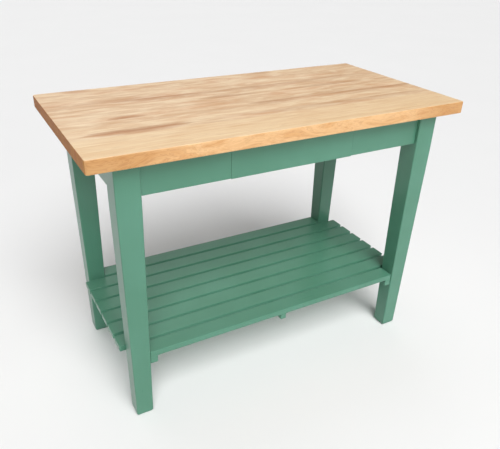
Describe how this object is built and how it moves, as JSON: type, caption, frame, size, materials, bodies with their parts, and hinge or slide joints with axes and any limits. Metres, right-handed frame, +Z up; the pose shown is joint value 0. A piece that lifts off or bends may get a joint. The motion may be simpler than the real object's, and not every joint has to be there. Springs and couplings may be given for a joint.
{
  "type": "butcher block table",
  "caption": "Kitchen work table with an edge-grain maple top, painted tapered legs, a flush apron drawer on roller slides and a low slatted shelf.",
  "frame": {"origin": "on the floor, under the centre of the top", "axes": "+X along the table's length to the right, +Y to its back, +Z up; the drawer faces -Y"},
  "size_m": [1.219, 0.61, 0.889],
  "materials": {
    "maple": "oiled edge-grain maple, satin, staves from cream to tan",
    "green_paint": "semi-gloss grey-green paint on wood",
    "bare_hardwood": "planed and unfinished",
    "drawer_wood": "clear satin lacquer",
    "plywood": "clear lacquered birch plywood",
    "slide_enamel": "cream baked enamel on sheet steel",
    "zinc_steel": "bright zinc-plated",
    "nylon": "white moulded nylon"
  },
  "bodies": {
    "table": {"top_staves": "maple", "leg_front_left": "green_paint", "leg_front_right": "green_paint", "leg_back_left": "green_paint", "leg_back_right": "green_paint", "apron_front_left": "green_paint", "apron_front_right": "green_paint", "apron_back": "green_paint", "apron_left": "green_paint", "apron_right": "green_paint", "top_rail_front": "bare_hardwood", "drawer_rail_left": "bare_hardwood", "drawer_rail_right": "bare_hardwood", "corner_block_front_left": "bare_hardwood", "corner_block_front_right": "bare_hardwood", "corner_block_back_left": "bare_hardwood", "corner_block_back_right": "bare_hardwood", "hanger_bolts": "zinc_steel", "hanger_washers": "zinc_steel", "hanger_nuts": "zinc_steel", "top_brackets": "zinc_steel", "top_bracket_screws": "zinc_steel", "rail_screws": "zinc_steel", "slide_cabinet_left": "slide_enamel", "slide_cabinet_right": "slide_enamel", "roller_rivets_cabinet": "zinc_steel", "slide_screws_cabinet": "zinc_steel", "shelf_cleat_left": "green_paint", "shelf_cleat_right": "green_paint", "shelf_batten": "green_paint", "cleat_screws": "zinc_steel", "shelf_screws": "zinc_steel", "shelf_slat_1": "green_paint", "shelf_slat_2": "green_paint", "shelf_slat_3": "green_paint", "shelf_slat_4": "green_paint", "shelf_slat_5": "green_paint", "shelf_slat_6": "green_paint", "shelf_slat_7": "green_paint", "shelf_slat_8": "green_paint"},
    "drawer": {"drawer_front": "green_paint", "drawer_box_front": "drawer_wood", "drawer_box_back": "drawer_wood", "drawer_side_left": "drawer_wood", "drawer_side_right": "drawer_wood", "drawer_bottom": "plywood", "drawer_front_screws": "zinc_steel", "slide_drawer_left": "slide_enamel", "slide_drawer_right": "slide_enamel", "roller_rivets_drawer": "zinc_steel", "slide_screws_drawer": "zinc_steel"},
    "cabinet_roller_left": {"roller_cabinet_left": "nylon"},
    "cabinet_roller_right": {"roller_cabinet_right": "nylon"},
    "drawer_roller_left": {"roller_drawer_left": "nylon"},
    "drawer_roller_right": {"roller_drawer_right": "nylon"}
  },
  "joints": [
    {"name": "drawer_slide", "type": "slide", "parent": "table", "child": "drawer", "axis": [0, -1, 0], "range_m": [0, 0.3]},
    {"name": "cabinet_roller_left_turn", "type": "hinge", "parent": "table", "child": "cabinet_roller_left", "pos_m": [-0.2014, -0.2235, 0.786], "axis": [1, 0, 0], "range_deg": [0, 1810]},
    {"name": "drawer_roller_left_turn", "type": "hinge", "parent": "drawer", "child": "drawer_roller_left", "pos_m": [-0.2016, 0.1385, 0.786], "axis": [1, 0, 0], "range_deg": [0, 1810]},
    {"name": "cabinet_roller_right_turn", "type": "hinge", "parent": "table", "child": "cabinet_roller_right", "pos_m": [0.2014, -0.2235, 0.786], "axis": [1, 0, 0], "range_deg": [0, 1810]},
    {"name": "drawer_roller_right_turn", "type": "hinge", "parent": "drawer", "child": "drawer_roller_right", "pos_m": [0.2016, 0.1385, 0.786], "axis": [1, 0, 0], "range_deg": [0, 1810]}
  ],
  "couplings": [
    {"joint": "cabinet_roller_left_turn", "follows": "drawer_slide", "rad_per_m": 105.26},
    {"joint": "drawer_roller_left_turn", "follows": "drawer_slide", "rad_per_m": 105.26},
    {"joint": "cabinet_roller_right_turn", "follows": "drawer_slide", "rad_per_m": 105.26},
    {"joint": "drawer_roller_right_turn", "follows": "drawer_slide", "rad_per_m": 105.26}
  ]
}
